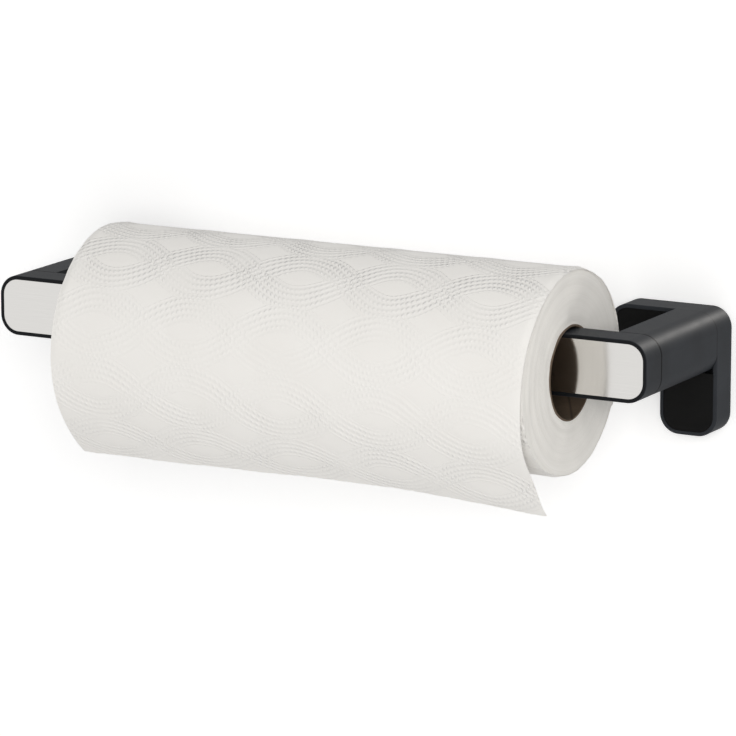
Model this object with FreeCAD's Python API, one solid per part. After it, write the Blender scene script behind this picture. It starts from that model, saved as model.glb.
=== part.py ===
"""Wall-mounted paper towel holder with its towel roll.

Millimetres. The origin is on the wall plane, midway between the two wall plates, at the height of the
bar's centre line. +X runs along the bar to the right, +Z is up, and the holder stands out from the
wall towards -Y. The bar pivots on the left arm and drops over a headed peg on the right arm.
"""

import FreeCAD
import Part

import math
import os

from FreeCAD import Vector

os.makedirs("parts", exist_ok=True)

# ---------------------------------------------------------------- driving dimensions
# overall
BAR_HEIGHT = 33.0
BAR_DEPTH = 18.0
REACH = 105.0              # wall to the bar's front
CORNER_R = 11.0            # outer corners of the bar, arms and wall plates
EDGE_R = 0.7               # small round on the visible front edges

# wall plates, an inverted L each
PLATE_DEPTH = 18.0
LIMB_LENGTH = 63.0         # from the plate's outer side to the end of its horizontal limb
LEG_WIDTH = 33.0
LEG_DROP = 67.5            # from the plate's top to the bottom of its leg
PLATE_WALL = 3.4
PLATE_FLOOR = 4.0
RIM = 2.0                  # width of the rim round a cover or the steel face
INNER_R = 3.0              # concave corner of the L

# covers
COVER_THICKNESS = 2.0
COVER_RECESS = 0.3
COVER_GAP = 0.15
COVER_PEG_R = 2.0
COVER_PEG_LENGTH = 7.0
PEG_END_ROOM = 0.5         # left in the socket past the peg's end
PEG_FIT = 0.03             # radial room round a cover's peg
PEG_SOCKET_WALL = 1.8

# wall fixing
WALL_HOLE_R = 2.4
WALL_HOLE_SINK_R = 4.8
WALL_BOSS_WALL = 1.2       # round the countersink
WALL_BOSS_RISE = 2.0       # above the plate's floor
LIMB_HOLE_FROM_END = 17.0  # from the limb's inner end
LEG_HOLE_FROM_END = 17.0   # from the leg's lower end
PEG_FROM_LEG_END = 7.5
PEG_FROM_LIMB_END = 7.0

# foam strip behind each plate
GASKET_WIDTH = 3.0
GASKET_DEPTH = 1.0
GASKET_INSET = 2.5
GASKET_FIT = 0.1           # each side of the strip in its groove

# arms
ARM_WIDTH = 24.5
ARM_WALL = 3.0
ARM_FRONT_WALL = 8.0
SEAM = 0.4                 # gap between the bar's back and an arm's front
ARM_BOSS_R = 4.6
ARM_BOSS_LENGTH = 26.0
LANDING = 4.0              # thickness of the wall plate's pad under the arm

# screws that hold the arms
ARM_SCREW_R = 2.0
ARM_SCREW_HEAD_R = 3.6
ARM_SCREW_HEAD = 2.6
ARM_SCREW_GRIP = 12.0      # length in the arm
ARM_SCREW_FROM_EDGE = 7.5  # from the arm's top and bottom to a screw's centre
SCREW_FIT = 0.25           # radial room in a through hole
THREAD_FIT = 0.05          # radial room left round a modelled thread
HEAD_ROOM = 0.4
ARM_SCREW_HEX_AF = 3.0
ARM_SCREW_HEX_DEPTH = 1.6
BLIND_END = 1.0            # a blind screw hole past its screw's tip
ARM_RIB_THICKNESS = 2.0    # joins the two screw bosses
SKIN = 1.0                 # least wall outside a boss

# bar casing
BAR_WALL = 2.2
BACK_COVER_THICKNESS = 3.0
BACK_COVER_MARGIN = 2.5    # from the casing's top and bottom to the back cover
BACK_COVER_PAST_ARM = 4.5  # from an arm's inner side to the back cover
BACK_COVER_GAP = 0.15
LID_SCREW_COUNT = 6
LID_SCREW_FROM_END = 16.0  # from the back cover's end to its first screw
LID_SCREW_R = 1.2
LID_HEAD_R = 2.6
LID_HEAD = 1.4
LID_BOSS_R = 3.5
LID_HEAD_SINK = 0.2        # below the back cover's face
CROSS_LENGTH = 3.2         # cross recess in each head
CROSS_WIDTH = 0.7
CROSS_FLOOR = 0.5
LID_CORNER_R = 1.0
BLIND_FLOOR = 2.4          # left in front of a blind hole in the casing's bosses

# steel face
STEEL_THICKNESS = 0.8
STEEL_RECESS = 0.3
STEEL_GAP = 0.15
ADHESIVE_THICKNESS = 0.3
ADHESIVE_INSET = 1.5

# stiffening channel
SPINE_THICKNESS = 1.5
SPINE_PAST_ARM = 10.5      # from an arm's inner side to the channel's end
SPINE_ROOM = 0.2           # in front of the channel
SPINE_SIDE_ROOM = 1.8      # above and below it
SPINE_BACK_ROOM = 1.2      # behind it

# pivot
PIVOT_SHOULDER_R = 3.95
PIVOT_FIT = 0.05           # radial room round the shoulder in its bush
BUSH_WALL = 2.0
BUSH_FLANGE = 1.4
BUSH_FLANGE_ROOM = 0.75    # from the flange to the arm's inner sides
FLANGE_PAST_HEAD = 1.7     # how far the flange shows round the screw's head
PIVOT_HEAD = 3.0
PIVOT_HEX_AF = 5.0
PIVOT_HEX_DEPTH = 2.0
PIVOT_THREAD_R = 2.5
THREAD_SHORT_OF_INSERT = 2.0
INSERT_R = 4.2
INSERT_BOSS_WALL = 3.3
WASHER_THICKNESS = 0.6
WASHER_ROOM = 0.1
WASHER_BORE_ROOM = 0.15

# catch
STUD_NECK_R = 3.0
STUD_HEAD_R = 5.2
STUD_HEAD = 2.0
STUD_THREAD_R = 2.5
STUD_PAST_NUT = 2.0
SLOT_CLEAR = 1.0           # each side of the neck and of the head
SLOT_REST_GAP = 0.3        # above the neck when the bar is down
LINER_WALL = 1.0
NUT_AF = 9.0
NUT_THICKNESS = 4.0

# towel roll
ROLL_LENGTH = 279.4
ROLL_END_ROOM = 30.8       # from each end of a centred roll to an arm
ROLL_OFFSET = 8.8          # centre of the roll to the right of the bar's centre
ROLL_R = 54.3
CORE_R = 24.3              # inside radius of the cardboard core
CORE_WALL = 1.0
ROLL_CLEAR = 0.3           # between the core and the bar's top edges

# the outermost sheet: round the roll from its perforation, slack in front, then hanging
SHEET_LENGTH = 279.4
SHEET_THICKNESS = 0.6
SHEET_GAP = 0.35
SLACK_FROM = 74.0          # degrees above the front where the sheet leaves the roll
SLACK_TO = -29.0           # degrees where the slack turn ends and the hanging part starts
SLACK = 7.7                # how much wider the slack turn is than the roll
HANG_R = 97.0
HANG_LENGTH = 39.0

# ---------------------------------------------------------------- worked-out places
HALF_HEIGHT = BAR_HEIGHT / 2
HALF_LENGTH = ROLL_LENGTH / 2 + ROLL_END_ROOM + ARM_WIDTH
FRONT = -REACH
BAR_BACK = FRONT + BAR_DEPTH
ARM_FRONT = BAR_BACK + SEAM
PLATE_FRONT = -PLATE_DEPTH
ARM_X = HALF_LENGTH - ARM_WIDTH / 2
ARM_INNER_X = HALF_LENGTH - ARM_WIDTH
LIMB_END_X = HALF_LENGTH - LIMB_LENGTH
LEG_X = HALF_LENGTH - LEG_WIDTH / 2
LEG_INNER_X = HALF_LENGTH - LEG_WIDTH
LEG_BOTTOM = HALF_HEIGHT - LEG_DROP
STEEL_FRONT = FRONT + STEEL_RECESS
STEEL_BACK = STEEL_FRONT + STEEL_THICKNESS
FACE_POCKET = STEEL_BACK + ADHESIVE_THICKNESS
BAR_INSIDE_FRONT = FACE_POCKET + BAR_WALL
BAR_INSIDE_BACK = BAR_BACK - BACK_COVER_THICKNESS
BLIND_END_Y = BAR_INSIDE_FRONT + BLIND_FLOOR
AXIS_Y = FRONT + BAR_DEPTH / 2
CORE_Z = HALF_HEIGHT - math.sqrt((CORE_R - ROLL_CLEAR) ** 2 - (BAR_DEPTH / 2) ** 2)
ROLL_X0 = ROLL_OFFSET - ROLL_LENGTH / 2
LIMB_HOLE_X = LIMB_END_X + LIMB_HOLE_FROM_END
LEG_HOLE_Z = LEG_BOTTOM + LEG_HOLE_FROM_END

OVER = 1.0                 # how far a cutting shape runs past the face it opens
LEAST_R = 0.5

nodes = {}


# ---------------------------------------------------------------- helpers
def y_prism(wire, y0, y1):
    """A closed outline in the XZ plane, carried from y0 to y1."""
    face = Part.Face(wire)
    face.translate(Vector(0, y0, 0))
    return face.extrude(Vector(0, y1 - y0, 0))


def outline(corners):
    """A closed XZ outline from (x, z, radius) corners, each rounded by a tangent arc."""
    edges = []
    count = len(corners)
    points = [Vector(x, 0, z) for x, z, _ in corners]
    ends = []
    for i, (_, _, radius) in enumerate(corners):
        here = points[i]
        back = (points[i - 1] - here).normalize()
        ahead = (points[(i + 1) % count] - here).normalize()
        half = back.getAngle(ahead) / 2
        reach = radius / math.tan(half)
        middle = here + (back + ahead).normalize() * (radius / math.sin(half) - radius)
        ends.append((here + back * reach, middle, here + ahead * reach, radius))
    for i, (start, middle, end, radius) in enumerate(ends):
        if radius > 0:
            edges.append(Part.Arc(start, middle, end).toShape())
        following = ends[(i + 1) % count][0]
        if (following - end).Length > 1e-6:
            edges.append(Part.LineSegment(end, following).toShape())
    return Part.Wire(edges)


def y_cylinder(x, z, radius, y0, y1):
    return Part.makeCylinder(radius, y1 - y0, Vector(x, y0, z), Vector(0, 1, 0))


def y_cone(x, z, r0, r1, y0, y1):
    return Part.makeCone(r0, r1, y1 - y0, Vector(x, y0, z), Vector(0, 1, 0))


def hexagon(x, z, across_flats, y0, y1):
    radius = across_flats / math.sqrt(3)
    turns = [math.radians(60 * i) for i in range(6)]
    return y_prism(outline([(x + radius * math.cos(a), z + radius * math.sin(a), 0) for a in turns]), y0, y1)


def box(x0, x1, y0, y1, z0, z1):
    return Part.makeBox(x1 - x0, y1 - y0, z1 - z0, Vector(x0, y0, z0))


def mirror_left(shape):
    return shape.mirror(Vector(0, 0, 0), Vector(1, 0, 0))


def bore(shape, x, z, radius, y0, y1):
    """The shape with a round hole along Y."""
    return shape.cut(y_cylinder(x, z, radius, y0, y1))


def add(name, shape):
    """Check one piece and keep it under its node name."""
    shape = shape.removeSplitter()
    if shape.ShapeType == "Compound" and len(shape.Solids) == 1:
        shape = shape.Solids[0]
    if not shape.isValid() or not shape.Solids:
        raise ValueError(name + " is not a valid solid")
    nodes[name] = shape


def plate_outline(inset):
    """The right-hand inverted L, drawn in by inset on every side."""
    outer_r = max(CORNER_R - inset, LEAST_R)
    x_out = HALF_LENGTH - inset
    z_top = HALF_HEIGHT - inset
    x_end = LIMB_END_X + inset
    z_under = -HALF_HEIGHT + inset
    x_leg = LEG_INNER_X + inset
    z_foot = LEG_BOTTOM + inset
    return outline([
        (x_out, z_top, outer_r),
        (x_out, z_foot, outer_r),
        (x_leg, z_foot, outer_r),
        (x_leg, z_under, INNER_R + inset),
        (x_end, z_under, outer_r),
        (x_end, z_top, outer_r),
    ])


def arm_outline(inset):
    """The right arm's section: rounded outside like the bar, square on the side facing the roll."""
    outer_r = max(CORNER_R - inset, LEAST_R)
    x_in = ARM_INNER_X + inset
    x_out = HALF_LENGTH - inset
    z = HALF_HEIGHT - inset
    return outline([(x_out, z, outer_r), (x_out, -z, outer_r), (x_in, -z, 0), (x_in, z, 0)])


def bar_outline(inset, end_inset=None):
    end_inset = inset if end_inset is None else end_inset
    radius = max(CORNER_R - inset, LEAST_R)
    x = HALF_LENGTH - end_inset
    z = HALF_HEIGHT - inset
    return outline([(x, z, radius), (x, -z, radius), (-x, -z, radius), (-x, z, radius)])


def front_edges(shape, y):
    """The edges of a shape that lie in the plane at y."""
    flat = []
    for edge in shape.Edges:
        span = edge.BoundBox
        if abs(span.YMin - y) < 1e-4 and abs(span.YMax - y) < 1e-4:
            flat.append(edge)
    return flat


# ---------------------------------------------------------------- wall plates
ARM_SCREW_Z = [ARM_SCREW_FROM_EDGE - HALF_HEIGHT, HALF_HEIGHT - ARM_SCREW_FROM_EDGE]
HEAD_SEAT = -(ARM_SCREW_HEAD + HEAD_ROOM)
HEAD_HOLE_R = ARM_SCREW_HEAD_R + HEAD_ROOM
COVER_FRONT = PLATE_FRONT + COVER_RECESS
COVER_BACK = COVER_FRONT + COVER_THICKNESS
PEGS = [(LIMB_END_X + PEG_FROM_LIMB_END, 0.0), (LEG_X, LEG_BOTTOM + PEG_FROM_LEG_END)]
WALL_HOLES = [(LIMB_HOLE_X, 0.0), (LEG_X, LEG_HOLE_Z)]


def make_wall_base():
    open_front = PLATE_FRONT - OVER
    body = y_prism(plate_outline(0), PLATE_FRONT, 0)
    body = body.makeFillet(EDGE_R, front_edges(body, PLATE_FRONT))
    body = body.cut(y_prism(plate_outline(PLATE_WALL), open_front, -PLATE_FLOOR))
    body = body.cut(y_prism(plate_outline(RIM), open_front, COVER_BACK))
    body = body.fuse(y_prism(arm_outline(0), PLATE_FRONT, PLATE_FRONT + LANDING))
    socket_r = COVER_PEG_R + PEG_FIT
    boss_top = -PLATE_FLOOR - WALL_BOSS_RISE
    for z in ARM_SCREW_Z:
        body = body.fuse(y_cylinder(ARM_X, z, HEAD_HOLE_R + ARM_SCREW_R, PLATE_FRONT, 0))
    for x, z in PEGS:
        body = body.fuse(y_cylinder(x, z, socket_r + PEG_SOCKET_WALL, COVER_BACK, -PLATE_FLOOR))
    for x, z in WALL_HOLES:
        body = body.fuse(y_cylinder(x, z, WALL_HOLE_SINK_R + WALL_BOSS_WALL, boss_top, -PLATE_FLOOR))
    for z in ARM_SCREW_Z:
        body = bore(body, ARM_X, z, ARM_SCREW_R + SCREW_FIT, open_front, OVER)
        body = bore(body, ARM_X, z, HEAD_HOLE_R, HEAD_SEAT, OVER)
    peg_end = COVER_BACK + COVER_PEG_LENGTH + PEG_END_ROOM
    for x, z in PEGS:
        body = bore(body, x, z, socket_r, COVER_BACK - OVER, peg_end)
    sink_end = boss_top + WALL_HOLE_SINK_R - WALL_HOLE_R
    for x, z in WALL_HOLES:
        body = bore(body, x, z, WALL_HOLE_R, boss_top - OVER, OVER)
        body = body.cut(y_cone(x, z, WALL_HOLE_SINK_R, WALL_HOLE_R, boss_top, sink_end))
    return body.cut(gasket_ring(0))


def gasket_ring(shrink):
    """The ring of the foam strip, or with no shrink, of its groove."""
    outer = y_prism(plate_outline(GASKET_INSET + shrink), -GASKET_DEPTH, 0)
    inner_inset = GASKET_INSET + GASKET_WIDTH - shrink
    return outer.cut(y_prism(plate_outline(inner_inset), -GASKET_DEPTH - OVER, OVER))


def make_gasket():
    """The foam strip, notched round the heads of the arm screws."""
    strip = gasket_ring(GASKET_FIT)
    for z in ARM_SCREW_Z:
        strip = bore(strip, ARM_X, z, HEAD_HOLE_R, -GASKET_DEPTH, 0)
    return strip


def make_wall_cover():
    gap = RIM + COVER_GAP
    cover = y_prism(plate_outline(gap), COVER_FRONT, COVER_BACK)
    foot_bottom = -HALF_HEIGHT - COVER_GAP
    foot = box(ARM_INNER_X - COVER_GAP, HALF_LENGTH, PLATE_FRONT - OVER, 0, foot_bottom, HALF_HEIGHT)
    cover = cover.cut(foot)
    for x, z in PEGS:
        cover = cover.fuse(y_cylinder(x, z, COVER_PEG_R, COVER_BACK, COVER_BACK + COVER_PEG_LENGTH))
    return cover


def make_arm_screws():
    screws = []
    head_end = HEAD_SEAT + ARM_SCREW_HEAD
    for z in ARM_SCREW_Z:
        shank = y_cylinder(ARM_X, z, ARM_SCREW_R, PLATE_FRONT - ARM_SCREW_GRIP, HEAD_SEAT)
        head = y_cylinder(ARM_X, z, ARM_SCREW_HEAD_R, HEAD_SEAT, head_end)
        socket = hexagon(ARM_X, z, ARM_SCREW_HEX_AF, head_end - ARM_SCREW_HEX_DEPTH, head_end + OVER)
        screws.append(shank.fuse(head.cut(socket)))
    return Part.makeCompound(screws)


# ---------------------------------------------------------------- arms
FRONT_WALL_BACK = ARM_FRONT + ARM_FRONT_WALL


def make_arm_blank():
    """The right arm before its front wall is drilled: closed in front, open at the wall plate."""
    arm = y_prism(arm_outline(0), ARM_FRONT, PLATE_FRONT)
    arm = arm.cut(y_prism(arm_outline(ARM_WALL), FRONT_WALL_BACK, PLATE_FRONT + OVER))
    boss_front = PLATE_FRONT - ARM_BOSS_LENGTH
    half_rib = ARM_RIB_THICKNESS / 2
    bosses = box(ARM_X - half_rib, ARM_X + half_rib, boss_front, PLATE_FRONT, -HALF_HEIGHT, HALF_HEIGHT)
    for z in ARM_SCREW_Z:
        bosses = bosses.fuse(y_cylinder(ARM_X, z, ARM_BOSS_R, boss_front, PLATE_FRONT))
    arm = arm.fuse(bosses.common(y_prism(arm_outline(SKIN), boss_front, PLATE_FRONT)))
    hole_end = PLATE_FRONT - ARM_SCREW_GRIP - BLIND_END
    for z in ARM_SCREW_Z:
        arm = bore(arm, ARM_X, z, ARM_SCREW_R + THREAD_FIT, hole_end, PLATE_FRONT + OVER)
    return arm


# ---------------------------------------------------------------- pivot, left arm
PIVOT_BORE_R = PIVOT_SHOULDER_R + PIVOT_FIT
BUSH_R = PIVOT_BORE_R + BUSH_WALL
BUSH_FLANGE_R = ARM_WIDTH / 2 - ARM_WALL - BUSH_FLANGE_ROOM
PIVOT_HEAD_R = BUSH_FLANGE_R - FLANGE_PAST_HEAD
FLANGE_BACK = FRONT_WALL_BACK + BUSH_FLANGE
HEAD_FRONT = FLANGE_BACK + WASHER_THICKNESS + 2 * WASHER_ROOM
PIVOT_X = -ARM_X
THREAD_END = BLIND_END_Y + THREAD_SHORT_OF_INSERT


def make_pivot_bush():
    bush = y_cylinder(PIVOT_X, 0, BUSH_R, ARM_FRONT, FRONT_WALL_BACK)
    bush = bush.fuse(y_cylinder(PIVOT_X, 0, BUSH_FLANGE_R, FRONT_WALL_BACK, FLANGE_BACK))
    return bore(bush, PIVOT_X, 0, PIVOT_BORE_R, ARM_FRONT - OVER, FLANGE_BACK + OVER)


def make_pivot_screw():
    screw = y_cylinder(PIVOT_X, 0, PIVOT_SHOULDER_R, BAR_BACK, HEAD_FRONT)
    screw = screw.fuse(y_cylinder(PIVOT_X, 0, PIVOT_THREAD_R, THREAD_END, BAR_BACK))
    head_back = HEAD_FRONT + PIVOT_HEAD
    head = y_cylinder(PIVOT_X, 0, PIVOT_HEAD_R, HEAD_FRONT, head_back)
    socket = hexagon(PIVOT_X, 0, PIVOT_HEX_AF, head_back - PIVOT_HEX_DEPTH, head_back + OVER)
    return screw.fuse(head.cut(socket))


def make_pivot_washer():
    y0 = FLANGE_BACK + WASHER_ROOM
    y1 = y0 + WASHER_THICKNESS
    ring = y_cylinder(PIVOT_X, 0, PIVOT_HEAD_R, y0, y1)
    return bore(ring, PIVOT_X, 0, PIVOT_SHOULDER_R + WASHER_BORE_ROOM, y0, y1)


def make_pivot_insert():
    insert = y_cylinder(PIVOT_X, 0, INSERT_R, BLIND_END_Y, BAR_BACK)
    return bore(insert, PIVOT_X, 0, PIVOT_THREAD_R + THREAD_FIT, BLIND_END_Y, BAR_BACK)


# ---------------------------------------------------------------- catch, right arm
CATCH_X = ARM_X
HEAD_Y1 = BAR_INSIDE_BACK - SLOT_CLEAR
HEAD_Y0 = HEAD_Y1 - STUD_HEAD
NECK_SLOT = STUD_NECK_R + SLOT_CLEAR
HEAD_SLOT = STUD_HEAD_R + SLOT_CLEAR
NECK_SLOT_Z = STUD_NECK_R + SLOT_REST_GAP - NECK_SLOT


def slot(half_width, y0, y1):
    """A slot with a round top, open at the bar's underside."""
    top = y_cylinder(CATCH_X, NECK_SLOT_Z, half_width, y0, y1)
    x0, x1 = CATCH_X - half_width, CATCH_X + half_width
    return top.fuse(box(x0, x1, y0, y1, -HALF_HEIGHT - OVER, NECK_SLOT_Z))


def make_catch_stud():
    stud = y_cylinder(CATCH_X, 0, STUD_NECK_R, HEAD_Y1, FRONT_WALL_BACK)
    stud = stud.fuse(y_cylinder(CATCH_X, 0, STUD_HEAD_R, HEAD_Y0, HEAD_Y1))
    thread_end = FRONT_WALL_BACK + NUT_THICKNESS + STUD_PAST_NUT
    return stud.fuse(y_cylinder(CATCH_X, 0, STUD_THREAD_R, FRONT_WALL_BACK, thread_end))


def make_catch_nut():
    nut_back = FRONT_WALL_BACK + NUT_THICKNESS
    nut = hexagon(CATCH_X, 0, NUT_AF, FRONT_WALL_BACK, nut_back)
    return bore(nut, CATCH_X, 0, STUD_THREAD_R + THREAD_FIT, FRONT_WALL_BACK, nut_back)


def make_catch_liner():
    liner = slot(NECK_SLOT + LINER_WALL, BAR_INSIDE_BACK, BAR_BACK)
    liner = liner.cut(slot(NECK_SLOT, BAR_INSIDE_BACK - OVER, BAR_BACK + OVER))
    return liner.common(y_prism(bar_outline(0), BAR_INSIDE_BACK, BAR_BACK))


# ---------------------------------------------------------------- bar
BACK_COVER_END_X = ARM_INNER_X - BACK_COVER_PAST_ARM
LID_SCREW_SPAN = 2 * (BACK_COVER_END_X - LID_SCREW_FROM_END)
LID_X = [LID_SCREW_SPAN * (i / (LID_SCREW_COUNT - 1) - 0.5) for i in range(LID_SCREW_COUNT)]
LID_SEAT = BAR_BACK - LID_HEAD - LID_HEAD_SINK


def back_cover_outline(gap):
    x = BACK_COVER_END_X - gap
    z = HALF_HEIGHT - BACK_COVER_MARGIN - gap
    return outline([(cx, cz, LID_CORNER_R) for cx, cz in ((x, z), (x, -z), (-x, -z), (-x, z))])


def make_bar_shell():
    shell = y_prism(bar_outline(0), FRONT, BAR_BACK)
    shell = shell.makeFillet(EDGE_R, front_edges(shell, FRONT))
    shell = shell.cut(y_prism(bar_outline(RIM), FRONT - OVER, FACE_POCKET))
    shell = shell.cut(y_prism(bar_outline(BAR_WALL), BAR_INSIDE_FRONT, BAR_INSIDE_BACK))
    shell = shell.cut(y_prism(back_cover_outline(0), BAR_INSIDE_BACK, BAR_BACK + OVER))
    for x in LID_X:
        shell = shell.fuse(y_cylinder(x, 0, LID_BOSS_R, BAR_INSIDE_FRONT, BAR_INSIDE_BACK))
    boss_r = INSERT_R + INSERT_BOSS_WALL
    shell = shell.fuse(y_cylinder(PIVOT_X, 0, boss_r, BAR_INSIDE_FRONT, BAR_INSIDE_BACK))
    for x in LID_X:
        shell = bore(shell, x, 0, LID_SCREW_R + THREAD_FIT, BLIND_END_Y, BAR_BACK)
    shell = bore(shell, PIVOT_X, 0, INSERT_R, BLIND_END_Y, BAR_BACK + OVER)
    shell = shell.cut(slot(NECK_SLOT + LINER_WALL, BAR_INSIDE_BACK, BAR_BACK + OVER))
    return shell.cut(slot(HEAD_SLOT, HEAD_Y0 - SLOT_CLEAR, BAR_INSIDE_BACK))


def make_back_cover():
    cover = y_prism(back_cover_outline(BACK_COVER_GAP), BAR_INSIDE_BACK, BAR_BACK)
    for x in LID_X:
        cover = bore(cover, x, 0, LID_SCREW_R + SCREW_FIT, BAR_INSIDE_BACK - OVER, BAR_BACK + OVER)
        cover = bore(cover, x, 0, LID_HEAD_R + SCREW_FIT, LID_SEAT, BAR_BACK + OVER)
    return cover


def make_lid_screws():
    screws = []
    for x in LID_X:
        shank = y_cylinder(x, 0, LID_SCREW_R, BLIND_END_Y + BLIND_END, LID_SEAT)
        head = y_cylinder(x, 0, LID_HEAD_R, LID_SEAT, LID_SEAT + LID_HEAD)
        for half_x, half_z in ((CROSS_LENGTH / 2, CROSS_WIDTH / 2), (CROSS_WIDTH / 2, CROSS_LENGTH / 2)):
            head = head.cut(box(x - half_x, x + half_x, LID_SEAT + CROSS_FLOOR, BAR_BACK, -half_z, half_z))
        screws.append(shank.fuse(head))
    return Part.makeCompound(screws)


def make_spine():
    y0 = BAR_INSIDE_FRONT + SPINE_ROOM
    y1 = BAR_INSIDE_BACK - SPINE_BACK_ROOM
    x = ARM_INNER_X - SPINE_PAST_ARM
    z = HALF_HEIGHT - BAR_WALL - SPINE_SIDE_ROOM
    channel = box(-x, x, y0, y1, -z, z)
    inner = z - SPINE_THICKNESS
    channel = channel.cut(box(-x, x, y0 + SPINE_THICKNESS, y1, -inner, inner))
    for hole_x in LID_X:
        channel = bore(channel, hole_x, 0, LID_BOSS_R + SCREW_FIT, y0, y1)
    return channel


# ---------------------------------------------------------------- towel roll
def x_tube(x0, length, inner, outer):
    tube = Part.makeCylinder(outer, length, Vector(x0, AXIS_Y, CORE_Z), Vector(1, 0, 0))
    return tube.cut(Part.makeCylinder(inner, length, Vector(x0, AXIS_Y, CORE_Z), Vector(1, 0, 0)))


def section_direction(degrees):
    """A direction in the roll's section: 0 degrees faces the room, 90 is up."""
    angle = math.radians(degrees)
    return Vector(0, -math.cos(angle), math.sin(angle))


def section_arc(centre, radius, start, end):
    angles = (start, (start + end) / 2, end)
    return Part.Arc(*[centre + section_direction(a) * radius for a in angles]).toShape()


def make_loose_sheet():
    """Three tangent arcs: close on the roll, slack in front of it, and hanging below."""
    close_r = ROLL_R + SHEET_GAP
    slack_r = ROLL_R + SLACK
    slack = math.radians(SLACK_FROM - SLACK_TO)
    close_length = SHEET_LENGTH - slack * slack_r - HANG_LENGTH
    perforation = SLACK_FROM + math.degrees(close_length / close_r)
    free_edge = SLACK_TO - math.degrees(HANG_LENGTH / HANG_R)
    axis = Vector(ROLL_X0, AXIS_Y, CORE_Z)
    slack_centre = axis - section_direction(SLACK_FROM) * (slack_r - close_r)
    hang_centre = slack_centre - section_direction(SLACK_TO) * (HANG_R - slack_r)
    stretches = [
        (axis, close_r, perforation, SLACK_FROM),
        (slack_centre, slack_r, SLACK_FROM, SLACK_TO),
        (hang_centre, HANG_R, SLACK_TO, free_edge),
    ]
    inside = [section_arc(centre, radius, a0, a1) for centre, radius, a0, a1 in stretches]
    outside = [section_arc(centre, radius + SHEET_THICKNESS, a0, a1) for centre, radius, a0, a1 in stretches]
    ends = []
    for centre, radius, angle in ((axis, close_r, perforation), (hang_centre, HANG_R, free_edge)):
        direction = section_direction(angle)
        near = centre + direction * radius
        ends.append(Part.LineSegment(near, near + direction * SHEET_THICKNESS).toShape())
    wire = Part.Wire(Part.__sortEdges__(inside + outside + ends))
    return Part.Face(wire).extrude(Vector(ROLL_LENGTH, 0, 0))


# ---------------------------------------------------------------- all the pieces
wall_base = make_wall_base()
wall_cover = make_wall_cover()
gasket = make_gasket()
arm_blank = make_arm_blank()
arm_screws = make_arm_screws()

for side, place in (("right", lambda shape: shape), ("left", mirror_left)):
    add("wall_base_" + side, place(wall_base))
    add("wall_cover_" + side, place(wall_cover))
    add("wall_gasket_" + side, place(gasket))
    add("arm_screws_" + side, place(arm_screws))

add("arm_left", bore(mirror_left(arm_blank), PIVOT_X, 0, BUSH_R, ARM_FRONT - OVER, FRONT_WALL_BACK + OVER))
add("arm_right", bore(arm_blank, CATCH_X, 0, STUD_NECK_R, ARM_FRONT - OVER, FRONT_WALL_BACK + OVER))

add("pivot_bush", make_pivot_bush())
add("pivot_screw", make_pivot_screw())
add("pivot_washer", make_pivot_washer())
add("pivot_insert", make_pivot_insert())
add("catch_stud", make_catch_stud())
add("catch_nut", make_catch_nut())
add("catch_liner", make_catch_liner())

add("bar_shell", make_bar_shell())
add("bar_back_cover", make_back_cover())
add("bar_cover_screws", make_lid_screws())
add("bar_spine", make_spine())
add("steel_face", y_prism(bar_outline(RIM + STEEL_GAP), STEEL_FRONT, STEEL_BACK))
add("face_adhesive", y_prism(bar_outline(RIM + STEEL_GAP + ADHESIVE_INSET), STEEL_BACK, FACE_POCKET))

add("core_tube", x_tube(ROLL_X0, ROLL_LENGTH, CORE_R, CORE_R + CORE_WALL))
add("paper_roll", x_tube(ROLL_X0, ROLL_LENGTH, CORE_R + CORE_WALL, ROLL_R))
add("loose_sheet", make_loose_sheet())

for name, shape in nodes.items():
    shape.exportStep("parts/" + name + ".step")
    print(name, "solids", len(shape.Solids), "volume", round(shape.Volume))
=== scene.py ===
# %% [markdown]
# # A wall-mounted paper towel holder
# The holder is a black bar with a stainless face. It sits on two arms that stand out from the wall, and a
# roll of embossed towel hangs on it. The bar, arms and wall plates come from the CAD model, which is the
# fixed frame. This file gives them their finishes, and models the soft things: the roll, its core and the
# loose sheet.

# %% Load the frame
import bpy
import math
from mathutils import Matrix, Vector, noise


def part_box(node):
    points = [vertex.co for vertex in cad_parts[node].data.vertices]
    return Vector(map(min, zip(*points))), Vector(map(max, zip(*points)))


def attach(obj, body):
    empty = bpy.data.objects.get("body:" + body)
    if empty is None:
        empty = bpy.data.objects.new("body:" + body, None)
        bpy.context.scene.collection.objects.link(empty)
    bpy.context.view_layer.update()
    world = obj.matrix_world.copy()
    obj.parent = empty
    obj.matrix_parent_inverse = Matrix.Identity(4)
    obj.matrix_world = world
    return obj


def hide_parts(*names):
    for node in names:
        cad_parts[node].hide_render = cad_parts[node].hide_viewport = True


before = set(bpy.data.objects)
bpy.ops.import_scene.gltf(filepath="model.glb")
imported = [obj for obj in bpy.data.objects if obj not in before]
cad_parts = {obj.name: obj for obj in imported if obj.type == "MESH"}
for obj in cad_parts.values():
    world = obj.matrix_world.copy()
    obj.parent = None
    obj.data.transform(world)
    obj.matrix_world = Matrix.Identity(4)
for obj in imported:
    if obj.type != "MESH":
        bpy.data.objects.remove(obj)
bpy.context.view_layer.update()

# %% [markdown]
# ## Camera
# The holder is seen from the front, a little from the right and a little from above, through a long lens.
# A long lens keeps the bar's edges almost parallel. The camera needs no shift, because it points at the
# holder itself.

# %% Camera
MM = 0.001
CAMERA_PLACE = Vector((1.2665, -2.3837, 0.5325))
CAMERA_YAW = math.radians(28.42)
CAMERA_PITCH = math.radians(11.89)

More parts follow.
